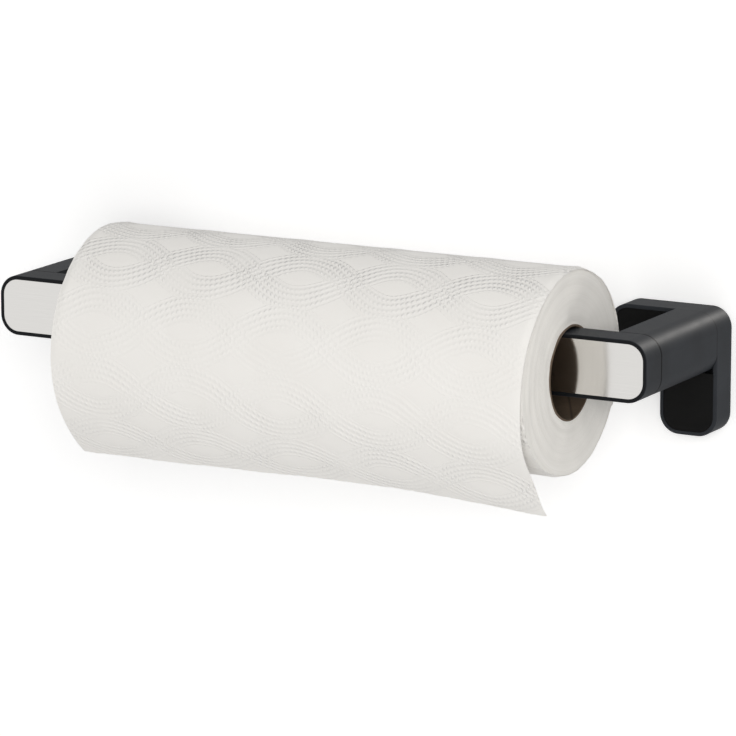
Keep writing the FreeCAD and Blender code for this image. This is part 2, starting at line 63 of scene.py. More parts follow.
camera_data = bpy.data.cameras.new("camera")
camera_data.lens = 246.2
camera_data.sensor_width = 36.0
camera_data.clip_start = 0.1
camera_data.clip_end = 50.0
camera = bpy.data.objects.new("camera", camera_data)
bpy.context.scene.collection.objects.link(camera)
looking = Vector((
    -math.sin(CAMERA_YAW) * math.cos(CAMERA_PITCH),
    math.cos(CAMERA_YAW) * math.cos(CAMERA_PITCH),
    -math.sin(CAMERA_PITCH),
))
camera.location = CAMERA_PLACE
camera.rotation_mode = "QUATERNION"
camera.rotation_quaternion = looking.to_track_quat("-Z", "Y")
bpy.context.scene.camera = camera
print("camera", round((CAMERA_PLACE).length, 2), "m from the wall plates")

# %% [markdown]
# ## Tools for shaping
# An operator works on everything that is selected, and the loaded frame is selected, so each piece starts
# from an empty selection. A finished piece has its place in its mesh and its object at the origin, as a
# CAD node has.

# %% Shaping tools
def start_fresh():
    if bpy.context.object and bpy.context.object.mode != "OBJECT":
        bpy.ops.object.mode_set(mode="OBJECT")
    bpy.ops.object.select_all(action="DESELECT")


def settle(piece):
    """Put the piece's place into its mesh."""
    start_fresh()
    piece.select_set(True)
    bpy.context.view_layer.objects.active = piece
    bpy.ops.object.transform_apply(location=True, rotation=True, scale=True)


def apply_modifiers(piece):
    start_fresh()
    piece.select_set(True)
    bpy.context.view_layer.objects.active = piece
    for modifier in list(piece.modifiers):
        bpy.ops.object.modifier_apply(modifier=modifier.name)


def triangles(piece):
    return sum(len(p.vertices) - 2 for p in piece.data.polygons)


# %% [markdown]
# ## Tools for finishes
# Every finish here is made of shader nodes. A small helper adds a node and joins its inputs, so that a
# recipe reads like the formula that it is.

# %% Finish tools
class Finish:
    """A material whose nodes are added one call at a time."""

    def __init__(self, name, colour, roughness):
        self.material = bpy.data.materials.new(name)
        self.material.use_nodes = True
        self.tree = self.material.node_tree
        self.shader = self.tree.nodes["Principled BSDF"]
        self.shader.inputs["Base Color"].default_value = (*colour, 1)
        self.shader.inputs["Roughness"].default_value = roughness

    def put(self, socket, value):
        if isinstance(value, bpy.types.NodeSocket):
            self.tree.links.new(value, socket)
        else:
            socket.default_value = value

    def math(self, operation, a, b=0.0, c=0.0):
        node = self.tree.nodes.new("ShaderNodeMath")
        node.operation = operation
        for socket, value in zip(node.inputs, (a, b, c)):
            self.put(socket, value)
        return node.outputs[0]

    def place(self):
        """The point on the piece, in metres."""
        return self.tree.nodes.new("ShaderNodeTexCoord").outputs["Object"]

    def normal(self):
        """The way the piece's surface faces."""
        return self.tree.nodes.new("ShaderNodeTexCoord").outputs["Normal"]

    def uv(self):
        return self.tree.nodes.new("ShaderNodeTexCoord").outputs["UV"]

    def stretch(self, vector, scale, location=(0, 0, 0)):
        node = self.tree.nodes.new("ShaderNodeMapping")
        self.put(node.inputs["Vector"], vector)
        node.inputs["Scale"].default_value = scale
        node.inputs["Location"].default_value = location
        return node.outputs[0]

    def split(self, vector):
        node = self.tree.nodes.new("ShaderNodeSeparateXYZ")
        self.put(node.inputs[0], vector)
        return node.outputs

    def noise_node(self, scale, detail, roughness):
        node = self.tree.nodes.new("ShaderNodeTexNoise")
        node.inputs["Scale"].default_value = scale
        node.inputs["Detail"].default_value = detail
        node.inputs["Roughness"].default_value = roughness
        return node

    def noise(self, vector, scale, detail=2.0, roughness=0.5):
        node = self.noise_node(scale, detail, roughness)
        self.put(node.inputs["Vector"], vector)
        return node.outputs["Fac"]

    def bands(self, distance, scale, detail=2.0, roughness=0.5):
        """A noise that changes along one number only, such as the distance from an axis."""
        node = self.noise_node(scale, detail, roughness)
        node.noise_dimensions = "1D"
        self.put(node.inputs["W"], distance)
        return node.outputs["Fac"]

    def sway(self, vector, scale, amount):
        """The vector pushed about by a slow noise, so that a pattern isn't perfectly even."""
        node = self.noise_node(scale, 1.0, 0.5)
        self.put(node.inputs["Vector"], vector)
        push = self.tree.nodes.new("ShaderNodeVectorMath")
        push.operation = "MULTIPLY_ADD"
        self.put(push.inputs[0], node.outputs["Color"])
        push.inputs[1].default_value = (amount, amount, 0.0)
        self.put(push.inputs[2], vector)
        return push.outputs[0]

    def between(self, value, low, high, to_low=0.0, to_high=1.0):
        node = self.tree.nodes.new("ShaderNodeMapRange")
        self.put(node.inputs["Value"], value)
        for name, number in (("From Min", low), ("From Max", high), ("To Min", to_low), ("To Max", to_high)):
            node.inputs[name].default_value = number
        return node.outputs[0]

    def blend_colours(self, share, first, second):
        node = self.tree.nodes.new("ShaderNodeMix")
        node.data_type = "RGBA"
        self.put(node.inputs["Factor"], share)
        self.put(node.inputs["A"], (*first, 1) if isinstance(first, tuple) else first)
        self.put(node.inputs["B"], (*second, 1) if isinstance(second, tuple) else second)
        return node.outputs["Result"]

    def bump(self, height, distance, strength=1.0, under=None):
        node = self.tree.nodes.new("ShaderNodeBump")
        node.inputs["Distance"].default_value = distance
        node.inputs["Strength"].default_value = strength
        self.put(node.inputs["Height"], height)
        if under is not None:
            self.put(node.inputs["Normal"], under)
        return node.outputs[0]

    def set(self, name, value):
        self.put(self.shader.inputs[name], value)


def tinted(colour, share):
    """The colour made darker or lighter."""
    return tuple(part * share for part in colour)


def finish_node(node_name, finish):
    """Give a CAD node its finish."""
    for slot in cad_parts[node_name].material_slots:
        slot.material = finish.material
    print(node_name, "is finished in", finish.material.name)


# %% [markdown]
# ## Black satin plastic
# The bar's casing, the arms and the wall plates are moulded in black plastic with a fine spark-eroded
# texture. A fine noise in the bump breaks the highlight up, and a slow noise in colour and roughness gives
# the slightly uneven sheen that handled plastic has. Where two mouldings meet, the edge holds no light, so
# a thin dark line is drawn on their sides. The faces of the bar's casing that look forward, the rim round
# the steel face among them, are painted darker: this is painted shade, because those faces get less light.

# %% Black satin plastic
JOINT_LINE = 0.6 * MM
JOINT_BLACK = (0.002, 0.002, 0.002)
FINE_GRAIN = 0.04 * MM


def satin_black(name, colour, roughness, gloss, joints=(), painted_front_shade=False):
    finish = Finish(name, colour, roughness)
    finish.set("Specular IOR Level", gloss)
    place = finish.place()
    cloud = finish.noise(place, 30.0, 4.0, 0.6)
    fine = finish.noise(place, 2600.0, 2.0, 0.6)
    clouded = finish.between(cloud, 0.3, 0.7)
    shade = finish.blend_colours(clouded, tinted(colour, 0.80), tinted(colour, 1.45))
    depth = finish.split(place)[1]
    facing = finish.split(finish.normal())[1]
    on_side = finish.between(finish.math("ABSOLUTE", facing), 0.6, 0.4)
    for joint in joints:
        away = finish.math("ABSOLUTE", finish.math("SUBTRACT", depth, joint))
        line = finish.math("MULTIPLY", on_side, finish.between(away, JOINT_LINE, JOINT_LINE * 0.6))
        shade = finish.blend_colours(line, shade, JOINT_BLACK)
    # Painted shade: faces that look forward are painted darker, because they get less light.
    if painted_front_shade:
        front_shade_share = finish.between(facing, -0.6, -0.9)
        shade = finish.blend_colours(front_shade_share, shade, tinted(colour, 0.35))
    finish.set("Base Color", shade)
    finish.set("Roughness", finish.between(cloud, 0.3, 0.7, roughness - 0.05, roughness + 0.05))
    finish.set("Normal", finish.bump(fine, FINE_GRAIN, 0.6))
    return finish


# %% [markdown]
# The bar's casing ends in front of the arms, and each arm runs from there back to its wall plate. The
# boxes of these pieces give the places of the two joints.

# %% Plastic pieces
PLASTIC = (0.0245, 0.0270, 0.0312)
BAR_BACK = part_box("bar_shell")[1].y
ARM_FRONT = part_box("arm_right")[0].y
PLATE_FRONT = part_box("arm_right")[1].y
casing_black = satin_black("casing_black", PLASTIC, 0.5, 0.12)
# The bar's casing gets painted shade on its forward faces, the rim round the steel face among them.
bar_black = satin_black("bar_black", PLASTIC, 0.5, 0.12, (BAR_BACK,), painted_front_shade=True)
arm_black = satin_black("arm_black", PLASTIC, 0.5, 0.12, (ARM_FRONT, PLATE_FRONT))
# Painted shade: the wall covers face forward and get less light, so they are a darker copy of the same black
# plastic.
shaded_cover_black = satin_black("shaded_cover_black", (0.0055, 0.0055, 0.0055), 0.5, 0.10)
for node_name in ("bar_back_cover", "wall_base_left", "wall_base_right"):
    finish_node(node_name, casing_black)
finish_node("bar_shell", bar_black)
for node_name in ("arm_left", "arm_right"):
    finish_node(node_name, arm_black)
for node_name in ("wall_cover_left", "wall_cover_right"):
    finish_node(node_name, shaded_cover_black)
print("joints at", [round(place / MM, 1) for place in (BAR_BACK, ARM_FRONT, PLATE_FRONT)], "mm")

# %% [markdown]
# ## Brushed steel face
# The face plate is stainless steel brushed along its length and then lightly polished. A noise that is
# stretched along the bar makes the brush lines, in the bump and in the roughness. The screws, the peg and
# the spine use the same recipe with their own colour and a duller surface.

# %% Steel and other metals
ALONG_BAR = (1.0, 60.0, 60.0)
EVEN = (30.0, 30.0, 30.0)


def brushed(name, colour, roughness, along=ALONG_BAR, depth=0.02 * MM):
    finish = Finish(name, colour, roughness)
    finish.set("Metallic", 1.0)
    lines = finish.noise(finish.stretch(finish.place(), along), 40.0, 4.0, 0.7)
    smear = finish.noise(finish.place(), 9.0, 2.0)
    finish.set("Base Color", finish.blend_colours(lines, tinted(colour, 0.93), colour))
    by_line = finish.between(lines, 0.3, 0.7, roughness - 0.02, roughness + 0.03)
    by_smear = finish.between(smear, 0.3, 0.7, -0.02, 0.02)
    finish.set("Roughness", finish.math("ADD", by_line, by_smear))
    finish.set("Normal", finish.bump(lines, depth, 0.35))
    return finish


face_steel = brushed("face_steel", (0.80, 0.785, 0.76), 0.10, ALONG_BAR, 0.006 * MM)
zinc = brushed("zinc", (0.55, 0.56, 0.58), 0.5, EVEN)
aluminium = brushed("aluminium", (0.72, 0.73, 0.74), 0.35)
brass = brushed("brass", (0.72, 0.54, 0.25), 0.30, EVEN)
finish_node("steel_face", face_steel)
for node_name in ("arm_screws_left", "arm_screws_right", "catch_stud", "catch_nut", "pivot_screw",
                  "pivot_washer", "bar_cover_screws"):
    finish_node(node_name, zinc)
finish_node("bar_spine", aluminium)
finish_node("pivot_insert", brass)

# %% [markdown]
# ## Small soft and slippery parts
# The bush and the slot's liner are natural nylon, which is milky. The strip behind each wall plate is
# closed-cell foam, and the steel face sits on an adhesive pad.

# %% Nylon, foam and adhesive
def moulded(name, colour, roughness, cell_scale, depth):
    finish = Finish(name, colour, roughness)
    cells = finish.noise(finish.place(), cell_scale, 3.0, 0.6)
    finish.set("Base Color", finish.blend_colours(cells, tinted(colour, 0.8), colour))
    finish.set("Normal", finish.bump(cells, depth, 0.7))
    return finish


nylon = moulded("nylon", (0.78, 0.77, 0.72), 0.35, 900.0, 0.02 * MM)
foam = moulded("foam", (0.03, 0.03, 0.03), 0.9, 1800.0, 0.3 * MM)
adhesive = moulded("adhesive", (0.70, 0.70, 0.68), 0.7, 500.0, 0.1 * MM)
for node_name in ("pivot_bush", "catch_liner"):
    finish_node(node_name, nylon)
for node_name in ("wall_gasket_left", "wall_gasket_right"):
    finish_node(node_name, foam)
finish_node("face_adhesive", adhesive)

# %% [markdown]
# ## Where the roll is
# The roll's box gives its axis, radius and ends, and the core's box gives the core's radius.

# %% Roll sizes
roll_low, roll_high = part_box("paper_roll")
core_low, core_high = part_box("core_tube")
ROLL_LEFT = roll_low.x
ROLL_RIGHT = roll_high.x
ROLL_LENGTH = ROLL_RIGHT - ROLL_LEFT
AXIS_Y = (roll_low.y + roll_high.y) / 2
AXIS_Z = (roll_low.z + roll_high.z) / 2
ROLL_R = (roll_high.z - roll_low.z) / 2
CORE_OUT_R = (core_high.z - core_low.z) / 2
CORE_WALL = 1.0 * MM
AXIS = Vector((0, AXIS_Y, AXIS_Z))
print("roll", round(ROLL_LENGTH / MM, 1), "mm long, radius", round(ROLL_R / MM, 1), "mm")

# %% [markdown]
# ## The towel's embossing
# The towel is pressed with ribbons that swing up and down like waves. Two sets of ribbons cross each
# other, so that plain eye shapes are left between them. Each ribbon is a bundle of fine ridges, and beads
# stand in rows along the ridges. They are closest where two ribbons cross. Where the slack front of the
# sheet has been pulled by the hand, the embossing is stretched flatter. The same formula is used twice:
# in code, to press the ribbons into a mesh, and in shader nodes, for the ridges and beads, which are
# finer than a mesh can hold. Its sizes are in mm, and so are u and v, which run along the roll and up
# the sheet.

# %% Ribbons
WAVE_LENGTH = 112.0
WAVE_HEIGHT = 13.0
WAVE_ROWS = 37.0
STRAND_PITCH = 3.3
STRANDS = 5
RIBBON_HALF = STRANDS * STRAND_PITCH / 2


def soft_step(x):
    x = min(max(x, 0.0), 1.0)
    return x * x * (3 - 2 * x)


def ribbon(u, v, side):
    """Distance from the middle of the nearest ribbon, in mm. side is 1 or -1 for the two sets."""
    turn = 2 * math.pi * u / WAVE_LENGTH
    slope = WAVE_HEIGHT * 2 * math.pi / WAVE_LENGTH * math.cos(turn)
    row = (v - side * WAVE_HEIGHT * math.sin(turn)) / WAVE_ROWS
    return (row - math.floor(row) - 0.5) * WAVE_ROWS / math.sqrt(1 + slope * slope)


def pressed(u, v):
    """How deep the ribbons are pressed at (u, v) in mm, from 0 to 1."""
    depth = 0.0
    for side in (1, -1):
        depth = max(depth, 1 - soft_step((abs(ribbon(u, v, side)) - RIBBON_HALF + 2.0) / 3.0))
    return depth


print("ribbons every", WAVE_ROWS, "mm,", STRANDS, "ridges in each")

# %% [markdown]
# The same ribbons as shader nodes. Each line below is one step of the formula above, followed by the
# ridges, which are a saw across the ribbon, and the beads, which are dots along each ridge.

# %% Ridges and beads
BEAD_PITCH = 2.7


def ribbon_nodes(finish, u, v, sign):
    """Ridges and beads of one set of ribbons, as shader nodes. u and v are sockets in mm."""
    turn = finish.math("MULTIPLY", u, 2 * math.pi / WAVE_LENGTH)
    swing = finish.math("MULTIPLY", finish.math("SINE", turn), WAVE_HEIGHT)
    slope = finish.math("MULTIPLY", finish.math("COSINE", turn), WAVE_HEIGHT * 2 * math.pi / WAVE_LENGTH)
    tilt = finish.math("SQRT", finish.math("MULTIPLY_ADD", slope, slope, 1.0))
    row = finish.math("DIVIDE", finish.math(sign, v, swing), WAVE_ROWS)
    centred = finish.math("SUBTRACT", finish.math("FRACT", row), 0.5)
    across = finish.math("DIVIDE", finish.math("MULTIPLY", centred, WAVE_ROWS), tilt)
    inside = finish.between(finish.math("ABSOLUTE", across), RIBBON_HALF, RIBBON_HALF - 0.8)
    strand = finish.math("DIVIDE", across, STRAND_PITCH)
    beside = finish.math("ABSOLUTE", finish.math("SUBTRACT", finish.math("FRACT", strand), 0.5))
    ridge = finish.between(beside, 0.5, 0.0)
    beads_on = finish.math("DIVIDE", u, BEAD_PITCH)
    step = finish.math("MULTIPLY_ADD", finish.math("FLOOR", strand), 0.5, beads_on)
    along = finish.math("ABSOLUTE", finish.math("SUBTRACT", finish.math("FRACT", step), 0.5))
    beside_squared = finish.math("MULTIPLY", beside, beside)
    from_bead = finish.math("SQRT", finish.math("MULTIPLY_ADD", along, along, beside_squared))
    bead = finish.between(from_bead, 0.36, 0.08)
    return finish.math("MULTIPLY", inside, ridge), finish.math("MULTIPLY", inside, bead)


print("beads every", BEAD_PITCH, "mm")

# %% [markdown]
# Towel paper is soft and matt, so it has hardly any gloss and a little sheen. Three bumps lie on each
# other: creped fibres, ridges and beads. The beads are painted a little whiter. This is a painted highlight
# where they stand up into the light.

# %% Towel paper
STRETCHED_AT = 82.0
STRETCH_FROM = 12.0
STRETCH_TO = 60.0
CREPE_HEIGHT = 0.14 * MM
RIDGE_HEIGHT = 0.42 * MM
BEAD_HEIGHT = 0.50 * MM
PAPER_DEEP = (0.905, 0.882, 0.845)
PAPER_LIGHT = (0.95, 0.932, 0.90)
BEAD_HIGHLIGHT = (1.0, 0.99, 0.97)


def towel_paper(name):
    """White embossed towel. Its UV map counts metres along the roll and round it."""
    finish = Finish(name, (0.92, 0.90, 0.87), 0.95)
    uv = finish.stretch(finish.uv(), (1000.0, 1000.0, 1.0))
    warped = finish.sway(uv, 0.05, 2.4)
    u, v, _ = finish.split(warped)
    ridge_a, bead_a = ribbon_nodes(finish, u, v, "SUBTRACT")
    ridge_b, bead_b = ribbon_nodes(finish, u, v, "ADD")
    patch = finish.between(finish.noise(uv, 0.045, 2.0), 0.35, 0.65, 0.25, 1.0)
    above = finish.math("SUBTRACT", v, STRETCHED_AT)
    below = finish.math("SUBTRACT", STRETCHED_AT, v)
    kept_above = finish.between(above, STRETCH_FROM, STRETCH_TO, 0.4, 1.3)
    kept_below = finish.between(below, STRETCH_FROM, STRETCH_TO, 0.4, 0.8)
    kept = finish.math("MAXIMUM", kept_above, kept_below)
    beads = finish.math("MULTIPLY", finish.math("MAXIMUM", bead_a, bead_b), patch)
    beads = finish.math("MULTIPLY", beads, kept)
    ridges = finish.math("MULTIPLY", finish.math("MAXIMUM", ridge_a, ridge_b), kept)
    fibres = finish.noise(finish.stretch(uv, (1.0, 2.2, 1.0)), 1.1, 4.0, 0.65)
    cloud = finish.noise(uv, 0.03, 2.0)
    white = finish.blend_colours(cloud, PAPER_DEEP, PAPER_LIGHT)
    # Painted highlight: the beads are painted whiter where they stand up into the light.
    bead_highlight = finish.math("MULTIPLY", beads, 0.55)
    finish.set("Base Color", finish.blend_colours(bead_highlight, white, BEAD_HIGHLIGHT))
    creped = finish.bump(fibres, CREPE_HEIGHT, 0.6)
    ridged = finish.bump(ridges, RIDGE_HEIGHT, 0.75, creped)
    finish.set("Normal", finish.bump(beads, BEAD_HEIGHT, 0.9, ridged))
    finish.set("Sheen Weight", 0.15)
    return finish


towel = towel_paper("towel")
print("towel has", len(towel.tree.nodes), "nodes")

# %% [markdown]
# ## The cut ends of the roll
# A roll is cut from a long log, so its ends show hundreds of turns of paper as fine rings. The turns are
# wound a little unevenly, so the rings are of different widths and tones. The distance from the axis
# drives the rings, and a slow noise bends them. The blade leaves fluff, which is a fine noise in the bump.

# %% Ring finish
END_DEEP = (0.86, 0.835, 0.785)
END_LIGHT = (0.94, 0.915, 0.87)


def about_axis(finish):
    """The point on the piece, counted from the roll's axis."""
    return finish.stretch(finish.place(), (1.0, 1.0, 1.0), (0.0, -AXIS_Y, -AXIS_Z))


def wound_end(name):
    finish = Finish(name, (0.83, 0.82, 0.79), 0.95)
    centred = about_axis(finish)
    _, y, z = finish.split(centred)
    squares = finish.math("ADD", finish.math("MULTIPLY", y, y), finish.math("MULTIPLY", z, z))
    radius = finish.math("SQRT", squares)
    bend = finish.noise(centred, 26.0, 2.0)
    wavy = finish.math("MULTIPLY_ADD", bend, 3.5 * MM, radius)
    rings = finish.bands(wavy, 1700.0, 2.0, 0.6)
    broad = finish.bands(wavy, 260.0)
    tone = finish.between(finish.math("ADD", rings, broad), 0.4, 1.6)
    finish.set("Base Color", finish.blend_colours(tone, END_DEEP, END_LIGHT))
    fluff = finish.noise(centred, 700.0, 4.0, 0.7)
    cut = finish.bump(fluff, 0.3 * MM, 0.5)
    finish.set("Normal", finish.bump(rings, 0.12 * MM, 0.5, cut))
    finish.set("Sheen Weight", 0.1)
    return finish


roll_end = wound_end("roll_end")
print("rings run out from the axis at y", round(AXIS_Y / MM, 1), "z", round(AXIS_Z / MM, 1), "mm")

# %% [markdown]
# ## A ring about the axis
# The firm roll, its slack turns and its core are all rings. The section is drawn as a rectangle, the
# inside of it is deleted, its sides are subdivided, and Spin turns it round the axis.

# %% Ring by Spin
def lathe_ring(name, inner, outer, left, right, length_cuts, end_cuts, steps):
    """A closed ring about the roll's axis, from the section rectangle."""
    start_fresh()
    bpy.ops.mesh.primitive_plane_add(size=1.0)
    piece = bpy.context.object
    piece.name = name
    piece.data.name = name
    piece.scale = (right - left, outer - inner, 1)
    piece.rotation_euler = (math.pi / 2, 0, 0)
    piece.location = ((left + right) / 2, AXIS_Y, AXIS_Z + (inner + outer) / 2)
    settle(piece)
    bpy.ops.object.mode_set(mode="EDIT")
    bpy.ops.mesh.select_all(action="SELECT")
    bpy.ops.mesh.delete(type="ONLY_FACE")
    bpy.ops.mesh.select_mode(type="EDGE")
    for runs_along, cuts in ((True, length_cuts), (False, end_cuts)):
        bpy.ops.mesh.select_all(action="DESELECT")
        bpy.ops.object.mode_set(mode="OBJECT")
        points = piece.data.vertices
        for edge in piece.data.edges:
            a, b = (points[i].co for i in edge.vertices)
            edge.select = (abs(a.x - b.x) > abs(a.z - b.z)) == runs_along
        bpy.ops.object.mode_set(mode="EDIT")
        bpy.ops.mesh.subdivide(number_cuts=cuts)
    bpy.ops.mesh.select_all(action="SELECT")
    bpy.ops.mesh.spin(steps=steps, angle=2 * math.pi, center=AXIS, axis=(1, 0, 0))
    bpy.ops.mesh.select_all(action="SELECT")
    bpy.ops.mesh.remove_doubles(threshold=0.000002)
    bpy.ops.mesh.normals_make_consistent(inside=False)
    bpy.ops.mesh.select_mode(type="VERT")
    bpy.ops.object.mode_set(mode="OBJECT")
    return piece


print("a ring is spun about the point", [round(part / MM, 1) for part in AXIS], "mm")

# %% [markdown]
# ## The cut ends
# The ends aren't flat. Some turns stand out, the blade leaves shallow dents, the turns next to the core
# are drawn in, and the outermost turns fall in a little at the edge.

# %% Cut ends
EDGE_FALL = 0.9 * MM
EDGE_FALL_LENGTH = 4 * MM
END_TOUCH = 0.01 * MM


def polar(point):
    """Radius and angle of a point about the roll's axis. The angle is 0 in front and grows upwards."""
    y = point.y - AXIS_Y
    z = point.z - AXIS_Z
    return math.hypot(y, z), math.atan2(z, -y)


def end_round(x):
    """How far the paper falls in towards the axis at its cut ends, in metres."""
    from_end = min(x - ROLL_LEFT, ROLL_RIGHT - x)
    return EDGE_FALL * (1 - soft_step(from_end / EDGE_FALL_LENGTH))


def end_sink(radius, angle, side):
    """How far the cut end lies behind its flat plane, in metres. side is 1 at the right end.

    It is even where the firm roll turns inside the slack turns, so that they never touch.
    """
    share = (radius - CORE_OUT_R) / (ROLL_R - CORE_OUT_R)
    turns = noise.noise(Vector((radius * 420, 0.7 * math.cos(angle), 0.7 * math.sin(angle) + side * 9)))
    dents = noise.noise(Vector((3.0 * math.cos(angle), 3.0 * math.sin(angle), radius * 90 + side * 5)))
    beside_joint = min(1.0, abs(share - 1) * 12)
    return (0.3 + (0.35 * turns + 0.5 * dents) * beside_joint + 0.6 * (1 - soft_step(share * 4))) * MM


def shape_ends(piece):
    """Sink the cut ends and let the outer edges fall in."""
    for vertex in piece.data.vertices:
        radius, angle = polar(vertex.co)
        inward = 1 - end_round(vertex.co.x) * soft_step((radius / ROLL_R - 0.97) / 0.02) / radius
        vertex.co.y = AXIS_Y + (vertex.co.y - AXIS_Y) * inward
        vertex.co.z = AXIS_Z + (vertex.co.z - AXIS_Z) * inward
        if vertex.co.x < ROLL_LEFT + END_TOUCH:
            vertex.co.x += end_sink(radius, angle, -1)
        elif vertex.co.x > ROLL_RIGHT - END_TOUCH:
            vertex.co.x -= end_sink(radius, angle, 1)


print("the edge of the roll falls in by", round(end_round(ROLL_LEFT) / MM, 2), "mm")

# %% [markdown]
# ## Unrolled UV map
# The towel's pattern follows the paper, so a wound piece gets a UV map that unrolls it: metres along the
# roll in u, and metres round it in v. Where a face crosses the back of the circle, its angles are kept
# together, so that no face is smeared over the whole map.

# %% Unrolled UV map
SMOOTH_ANGLE = math.radians(40)


def unroll_uv(piece, length_from, round_r):
    """A UV map in metres: along the roll, and round it at the given radius."""
    points = [(vertex.co.x - length_from, polar(vertex.co)[1]) for vertex in piece.data.vertices]
    flat = []
    for face in piece.data.polygons:
        first = points[face.vertices[0]][1]
        for index in face.vertices:
            along, angle = points[index]
            if angle - first > math.pi:
                angle -= 2 * math.pi
            if first - angle > math.pi:
                angle += 2 * math.pi
            flat.extend((along, angle * round_r))
    layer = piece.data.uv_layers.active or piece.data.uv_layers.new(name="unrolled")
    layer.data.foreach_set("uv", flat)


def finish_wound(piece):
    """Towel round the outside, cut turns on the ends."""
    unroll_uv(piece, ROLL_LEFT, ROLL_R)
    piece.data.materials.append(towel.material)
    piece.data.materials.append(roll_end.material)
    for face in piece.data.polygons:
        face.material_index = 1 if abs(face.normal.x) > 0.7 else 0
    bpy.ops.object.shade_smooth_by_angle(angle=SMOOTH_ANGLE)


print("the roll is", round(2 * math.pi * ROLL_R / MM), "mm round")

# %% [markdown]
# ## The firm roll
# The tightly wound paper on the core. It turns with the core, inside the slack turns and the loose sheet.

# %% Firm roll
ROUND_STEPS = 320
wound_roll = lathe_ring("wound_roll", CORE_OUT_R, ROLL_R, ROLL_LEFT, ROLL_RIGHT, 90, 22, ROUND_STEPS)
shape_ends(wound_roll)
finish_wound(wound_roll)
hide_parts("paper_roll")
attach(wound_roll, "roll")
print("wound roll:", triangles(wound_roll), "triangles")

# %% [markdown]
# ## The slackened turns
# A few turns under the loose sheet have slackened with it. They stand off the firm roll in front, just
# below the middle, and a little at the back, so the roll's end isn't quite round. They hang with the
# loose sheet while the firm roll turns inside them, so they are a ring of their own. Near the cut ends
# they frill, because loose paper keeps its embossing there.

# %% Bulges and frill
TURN_GAP = 0.10 * MM
TURN_LEAST = 0.03 * MM
FRONT_BULGE = 4.2 * MM
BACK_BULGE = 2.6 * MM
FRILL = 0.45 * MM
FRILL_LENGTH = 12 * MM
FRILLS_ROUND = 7.6


def hump(degrees, low, high):
    """0 outside low to high, and a smooth 1 in the middle."""
    share = (degrees - low) / (high - low)
    if not 0 < share < 1:
        return 0.0
    return math.sin(math.pi * share) ** 2


def back_slack(angle):
    return BACK_BULGE * hump(math.degrees(angle) % 360, 98.0, 236.0)


def turn_slack(angle):
    """How far the slackened turns stand out at an angle, in metres."""
    degrees = (math.degrees(angle) + 180) % 360 - 180
    return FRONT_BULGE * hump(degrees, -76.0, 50.0) + back_slack(angle)


def end_frill(x, angle):
    """How far the outer turns frill near their cut ends, in metres."""
    from_end = min(x - ROLL_LEFT, ROLL_RIGHT - x)
    side = 1 if x > (ROLL_LEFT + ROLL_RIGHT) / 2 else -1
    round_end = Vector((FRILLS_ROUND * math.cos(angle), FRILLS_ROUND * math.sin(angle), side * 4.3))
    return FRILL * (0.5 + noise.noise(round_end)) * (1 - soft_step(from_end / FRILL_LENGTH))


print("the slack turns stand out", round(turn_slack(0) / MM, 1), "mm in front")

# %% [markdown]
# The ring starts hardly thicker than one sheet. Its inner skin stays round, so that the firm roll can turn
# in it, and its outer skin is pushed out by the bulges and the frill.

# %% Slack turns
TURN_IN_R = ROLL_R + TURN_GAP
slack_turns = lathe_ring("slack_turns", TURN_IN_R, TURN_IN_R + TURN_LEAST,
                         ROLL_LEFT, ROLL_RIGHT, 80, 5, ROUND_STEPS)
for vertex in slack_turns.data.vertices:
    radius, angle = polar(vertex.co)
    share = (radius - ROLL_R - TURN_GAP) / TURN_LEAST
    outward = 1 + share * (turn_slack(angle) + end_frill(vertex.co.x, angle)) / radius
    vertex.co.y = AXIS_Y + (vertex.co.y - AXIS_Y) * outward
    vertex.co.z = AXIS_Z + (vertex.co.z - AXIS_Z) * outward
shape_ends(slack_turns)
finish_wound(slack_turns)
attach(slack_turns, "loose_end")
print("slack turns:", triangles(slack_turns), "triangles")

# %% [markdown]
# ## The cardboard core
# A core is wound from strips of kraft board, glued at a slant, so a spiral seam runs round it inside and
# out. The finish has the board's fibres, slow stains and a darker glue line along the seam.

# %% Kraft board
SEAM_LEAD = 85 * MM
BOARD_DARK = (0.10, 0.070, 0.048)
BOARD_LIGHT = (0.19, 0.138, 0.095)
BOARD_STAIN = (0.12, 0.086, 0.06)
GLUE = (0.07, 0.05, 0.035)


def kraft_board(name):
    finish = Finish(name, (0.36, 0.27, 0.18), 0.9)
    centred = about_axis(finish)
    x, y, z = finish.split(centred)
    turn = finish.math("DIVIDE", finish.math("ARCTAN2", z, y), 2 * math.pi)
    spiral = finish.math("FRACT", finish.math("ADD", finish.math("DIVIDE", x, SEAM_LEAD), turn))
    seam = finish.between(finish.math("ABSOLUTE", finish.math("SUBTRACT", spiral, 0.5)), 0.012, 0.0)
    fibres = finish.noise(finish.stretch(centred, (0.35, 1.0, 1.0)), 900.0, 5.0, 0.7)
    cloud = finish.noise(centred, 60.0, 3.0)
    board = finish.blend_colours(fibres, BOARD_DARK, BOARD_LIGHT)
    board = finish.blend_colours(finish.math("MULTIPLY", cloud, 0.5), board, BOARD_STAIN)
    finish.set("Base Color", finish.blend_colours(seam, board, GLUE))
    finish.set("Normal", finish.bump(fibres, 0.1 * MM, 0.6))
    return finish


kraft = kraft_board("kraft")
print("the seam goes round once every", round(SEAM_LEAD / MM), "mm")

# %% [markdown]
# The core is a thin ring, a little shorter than the roll. Its inner skin is pushed out along the seam, so
# that the seam is a shallow groove in the mesh too.

